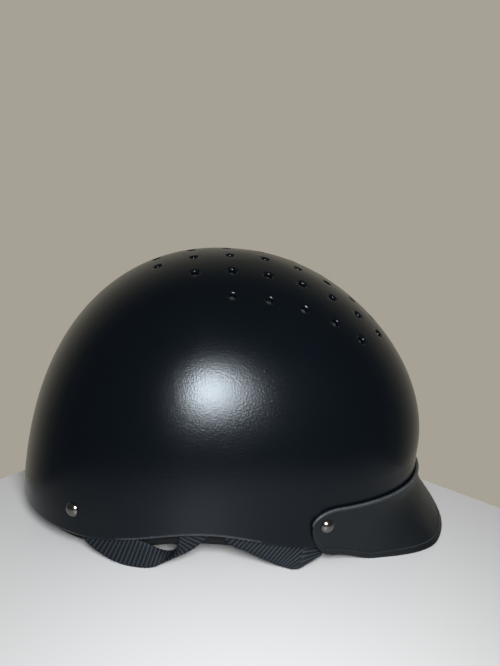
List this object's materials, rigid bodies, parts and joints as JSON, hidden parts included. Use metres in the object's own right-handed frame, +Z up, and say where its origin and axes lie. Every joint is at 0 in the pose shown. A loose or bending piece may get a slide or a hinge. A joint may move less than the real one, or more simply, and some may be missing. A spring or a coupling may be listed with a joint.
{
  "type": "riding helmet",
  "caption": "Domed riding helmet with rows of crown vents, a riveted flared peak and a webbing chin harness with a side-release buckle.",
  "frame": {"origin": "centre of the helmet's outline, on the surface that it stands on", "axes": "the peak points along -Y, the wearer's right side is -X, +Z is up"},
  "size_m": [0.212, 0.3022, 0.186],
  "materials": {
    "shell": "satin black, faintly textured",
    "peak": "flexible satin black",
    "rivets": "polished domed heads",
    "washers": "plain",
    "pins": "plain",
    "webbing": "ribbed woven black",
    "buckle": "moulded matte black",
    "keeper": "matte",
    "foam": "moulded bead foam",
    "lining": "soft brushed black cloth over foam",
    "hook_tape": "hook tape"
  },
  "bodies": {
    "helmet": {"outer_shell": "shell", "foam_liner": "foam", "headband": "lining", "visor": "peak", "front_rivets": "rivets", "rear_rivets": "rivets", "rivet_washers": "washers", "right_front_strap": "webbing", "left_front_strap": "webbing", "right_rear_strap": "webbing", "left_rear_strap": "webbing", "right_divider": "buckle", "left_divider": "buckle", "divider_pins": "pins", "brow_pad": "lining", "nape_pad": "lining", "right_side_pad": "lining", "left_side_pad": "lining", "crown_pad": "lining", "pad_dots": "hook_tape"},
    "chin_loop": {"right_chin_strap": "webbing", "left_chin_strap": "webbing", "buckle_socket": "buckle", "buckle_plug": "buckle"},
    "slider": {"chin_slider": "buckle"},
    "keeper": {"strap_keeper": "keeper"},
    "front_prong_body": {"front_prong": "buckle"},
    "rear_prong_body": {"rear_prong": "buckle"}
  },
  "joints": [
    {"name": "chin_loop_swing", "type": "hinge", "parent": "helmet", "child": "chin_loop", "pos_m": [0, 0.02413, 0.036], "axis": [1, 0, 0], "range_deg": [-60, 60]},
    {"name": "slider_slide", "type": "slide", "parent": "chin_loop", "child": "slider", "axis": [1, 0, 0], "range_m": [-0.006, 0.006]},
    {"name": "keeper_slide", "type": "slide", "parent": "chin_loop", "child": "keeper", "axis": [1, 0, 0], "range_m": [-0.006, 0.006]},
    {"name": "front_prong_squeeze", "type": "hinge", "parent": "chin_loop", "child": "front_prong_body", "pos_m": [0.0094, 0.01613, 0.0074], "axis": [0, 0, -1], "range_deg": [0, 6.5], "stiffness_Nm_per_rad": 0.3},
    {"name": "rear_prong_squeeze", "type": "hinge", "parent": "chin_loop", "child": "rear_prong_body", "pos_m": [0.0094, 0.03213, 0.0074], "axis": [0, 0, 1], "range_deg": [0, 6.5], "stiffness_Nm_per_rad": 0.3}
  ]
}
